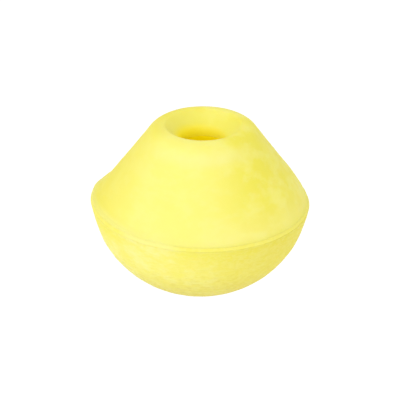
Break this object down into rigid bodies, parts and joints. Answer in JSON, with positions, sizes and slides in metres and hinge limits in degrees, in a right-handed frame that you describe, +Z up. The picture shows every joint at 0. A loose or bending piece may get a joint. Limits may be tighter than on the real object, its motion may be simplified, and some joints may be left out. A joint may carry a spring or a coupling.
{
  "type": "fishing float",
  "caption": "Hollow fishing float with a conical top, a rounded bowl, a narrow lip at the joint and a round line hole with a wide funnel mouth.",
  "frame": {"origin": "centre of the flat ring round the lower mouth, which the float stands on", "axes": "+Z up the line hole, towards the wide funnel mouth; the float is round about it, so +X and +Y are free"},
  "size_m": [0.0636, 0.0636, 0.0492],
  "materials": {
    "upper_skin": "matt, smooth, slightly waxy yellow",
    "lower_skin": "matt yellow with fine streaks running round",
    "tube_skin": "deep yellow, smooth",
    "cement": "dull, slightly uneven bead"
  },
  "bodies": {
    "root": {"upper_shell": "upper_skin", "lower_shell": "lower_skin", "line_tube": "tube_skin", "seam_bead": "cement"}
  },
  "joints": []
}
